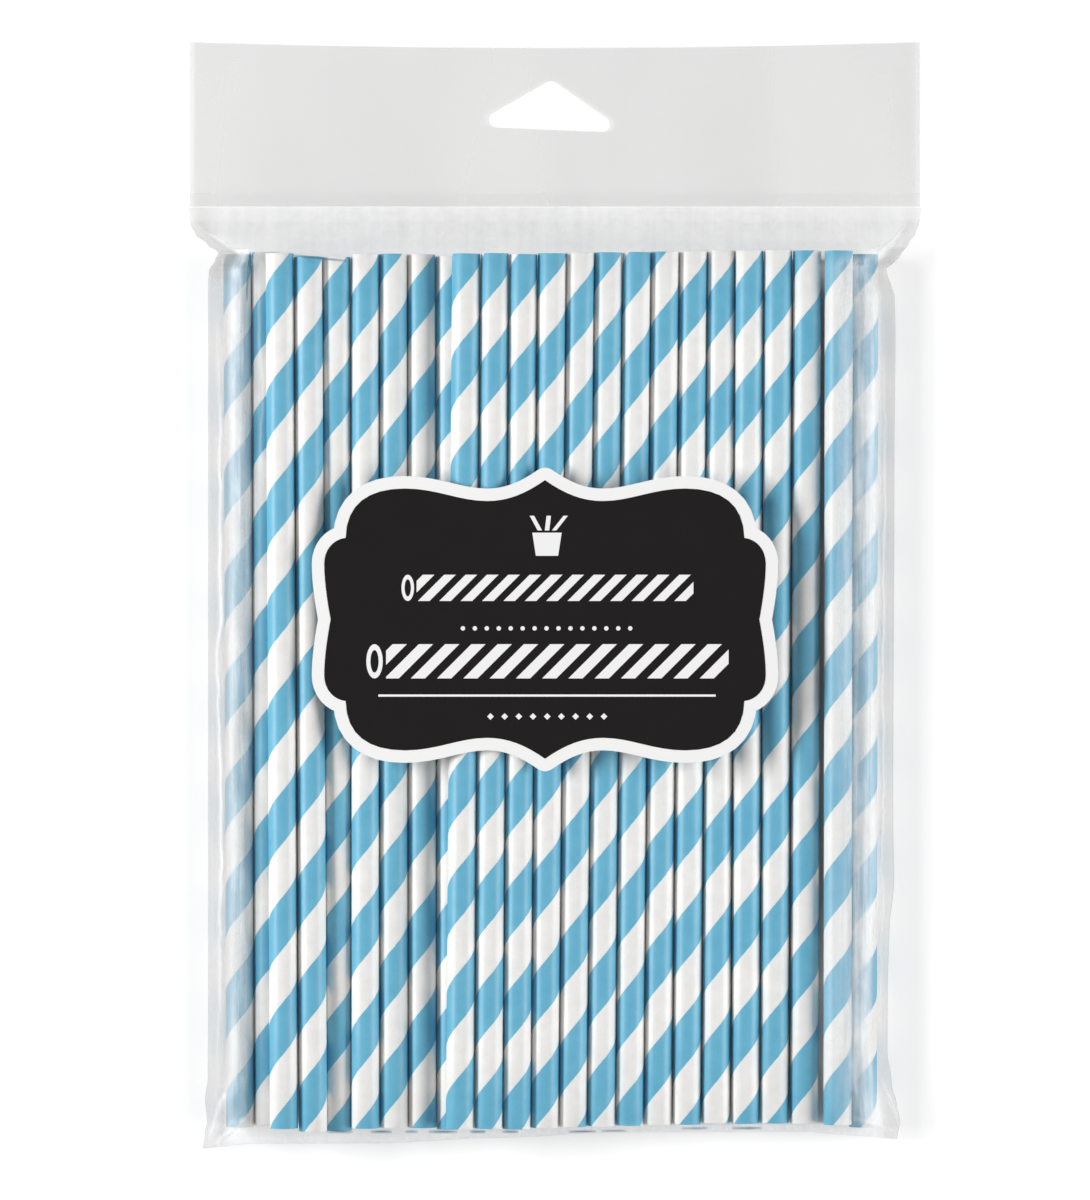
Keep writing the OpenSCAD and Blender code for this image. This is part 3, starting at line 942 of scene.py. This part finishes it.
labelSetup = {
    "black": (0.0090, 0.0078, 0.0080, 1),
    "darker": (0.012, 0.0105, 0.0105, 1),
    "edge": (0.93, 0.93, 0.925, 1),
    "edgeShade": (0.89, 0.89, 0.885, 1),
    "ink": (0.9, 0.9, 0.9, 1),
    "printDepth": 0.03,  # the black print reaches this far down from the label's face
    "inkLift": 0.012,
    "inkThick": 0.02,
    # a ring's half width as a share of the bar's height, and the room that it takes
    "ringHalf": 0.24,
    "ringRoom": 2.4,
    "leastStripe": 1.0,
    # two lying striped straws, with the middle of each and its length, height, stripe and gap
    "bars": [
        {"middle": (-1.7, 1.6), "length": 65.6, "height": 5.9, "stripe": 2.6, "gap": 2.2},
        {"middle": (-1.7, -14.9), "length": 81.4, "height": 7.7, "stripe": 3.2, "gap": 2.7},
    ],
    "dots": {"from": -20.7, "to": 16.9, "level": -7.5, "count": 15, "radius": 0.5},
    "rule": {"middle": (-1.8, -22.6), "length": 75.8, "height": 0.5},
    "diamonds": {"from": -14.5, "to": 11.0, "level": -27.3, "count": 9, "radius": 0.75},
    # a tumbler with straws in it, standing in the upper middle of the field
    "tumbler": {"middle": -1.8, "base": 8.8, "height": 5.2, "topWidth": 6.6, "baseWidth": 5.0,
                "straws": [(-1.6, -3.4), (0.0, 0.4), (1.6, 4.2)], "tip": 17.8, "width": 1.0},
}


def paintNode(name, material):
    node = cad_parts[name]
    node.data.materials.clear()
    node.data.materials.append(material)


def cardFinish(tree, shader, colour, height):
    # smooth coated card, matt enough to take hardly any glare
    feed(tree, colour, shader.inputs["Base Color"])
    feed(tree, spread(tree, height, 0.3, 0.7, 0.4, 0.55), shader.inputs["Roughness"])
    shader.inputs["Specular IOR Level"].default_value = 0.08


def labelPaper():
    material, tree, shader = startMaterial("labelPaper")
    place = objectPlace(tree)
    low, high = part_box("label")
    black = high.z - labelSetup["printDepth"] * mm
    printed = sums(tree, "GREATER_THAN", splitPlace(tree, place)["Z"], black)
    shade, height = addGrain(tree, place, 1500)
    dark = mixColours(tree, shade, labelSetup["black"], labelSetup["darker"])
    pale = mixColours(tree, shade, labelSetup["edge"], labelSetup["edgeShade"])
    cardFinish(tree, shader, mixColours(tree, printed, pale, dark), height)
    feed(tree, bump(tree, height, 0.2, 0.00004), shader.inputs["Normal"])
    return material


def inkPaper():
    material, tree, shader = startMaterial("labelInk")
    shade, height = addGrain(tree, objectPlace(tree), 1500)
    colour = mixColours(tree, shade, labelSetup["ink"], labelSetup["edgeShade"])
    cardFinish(tree, shader, colour, height)
    return material


def clipBand(points, edge, keepAbove):
    # the part of a flat shape on one side of an upright line
    kept = []
    for number, (x, y) in enumerate(points):
        beforeX, beforeY = points[number - 1]
        inside = (x >= edge) == keepAbove
        insideBefore = (beforeX >= edge) == keepAbove
        if inside != insideBefore:
            share = (edge - beforeX) / (x - beforeX)
            kept.append((edge, beforeY + (y - beforeY) * share))
        if inside:
            kept.append((x, y))
    return kept


def barShapes(bar):
    # slanted stripes between the bar's ends, and a ring round its open end on the left
    (x, y), height = bar["middle"], bar["height"]
    left, right = x - bar["length"] / 2, x + bar["length"] / 2
    low, high = y - height / 2, y + height / 2
    ringHalf = height * labelSetup["ringHalf"]
    firstStripe = left + ringHalf * labelSetup["ringRoom"]
    shapes = []
    at = left - height
    while at < right:
        stripe = [(at, low), (at + bar["stripe"], low), (at + bar["stripe"] + height, high),
                  (at + height, high)]
        stripe = clipBand(stripe, firstStripe, True)
        stripe = clipBand(stripe, right, False) if stripe else stripe
        width = max(stripe)[0] - min(stripe)[0] if len(stripe) > 2 else 0
        if width > labelSetup["leastStripe"]:
            shapes.append(stripe)
        at += bar["stripe"] + bar["gap"]
    outer = ringPoints(left + ringHalf, y, ringHalf, height / 2)
    inner = ringPoints(left + ringHalf, y, ringHalf * 0.5, height * 0.33)
    for number in range(len(outer)):
        shapes.append([outer[number - 1], outer[number], inner[number], inner[number - 1]])
    return shapes


def ringPoints(x, y, halfWidth, halfHeight, count=28):
    turns = [2 * math.pi * number / count for number in range(count)]
    return [(x + halfWidth * math.cos(turn), y + halfHeight * math.sin(turn)) for turn in turns]


def rowShapes(row, corners):
    step = (row["to"] - row["from"]) / (row["count"] - 1)
    places = [row["from"] + step * number for number in range(row["count"])]
    return [ringPoints(x, row["level"], row["radius"], row["radius"], corners) for x in places]


def tumblerShapes(cup):
    x, base = cup["middle"], cup["base"]
    rim = base + cup["height"]
    half, foot = cup["topWidth"] / 2, cup["baseWidth"] / 2
    shapes = [[(x - foot, base), (x + foot, base), (x + half, rim), (x - half, rim)]]
    for inCup, tip in cup["straws"]:
        wide = cup["width"] / 2
        shapes.append([(x + inCup - wide, rim + 0.5), (x + inCup + wide, rim + 0.5),
                       (x + tip + wide, cup["tip"]), (x + tip - wide, cup["tip"])])
    return shapes


def makePrint():
    # the label's ornaments, as thin white shapes on the black field
    setup = labelSetup
    shapes = tumblerShapes(setup["tumbler"])
    for bar in setup["bars"]:
        shapes += barShapes(bar)
    rule = setup["rule"]
    x, y = rule["middle"]
    halfX, halfY = rule["length"] / 2, rule["height"] / 2
    shapes.append([(x - halfX, y - halfY), (x + halfX, y - halfY), (x + halfX, y + halfY),
                   (x - halfX, y + halfY)])
    shapes += rowShapes(setup["dots"], 20)
    shapes += rowShapes(setup["diamonds"], 4)
    low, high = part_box("label")
    level = high.z + setup["inkLift"] * mm
    points = []
    faces = []
    for shape in shapes:
        faces.append(tuple(range(len(points), len(points) + len(shape))))
        points += [(px * mm, py * mm, level) for px, py in shape]
    mesh = bpy.data.meshes.new("labelPrint")
    mesh.from_pydata(points, [], faces)
    mesh.update()
    ink = bpy.data.objects.new("label_print", mesh)
    bpy.context.scene.collection.objects.link(ink)
    pick(ink)
    mesh.materials.append(inkPaper())
    depth = ink.modifiers.new("depth", "SOLIDIFY")
    depth.thickness = setup["inkThick"] * mm
    depth.offset = 1
    bpy.ops.object.modifier_apply(modifier="depth")
    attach(ink, "root")


paintNode("label", labelPaper())
makePrint()
print("stage: label")
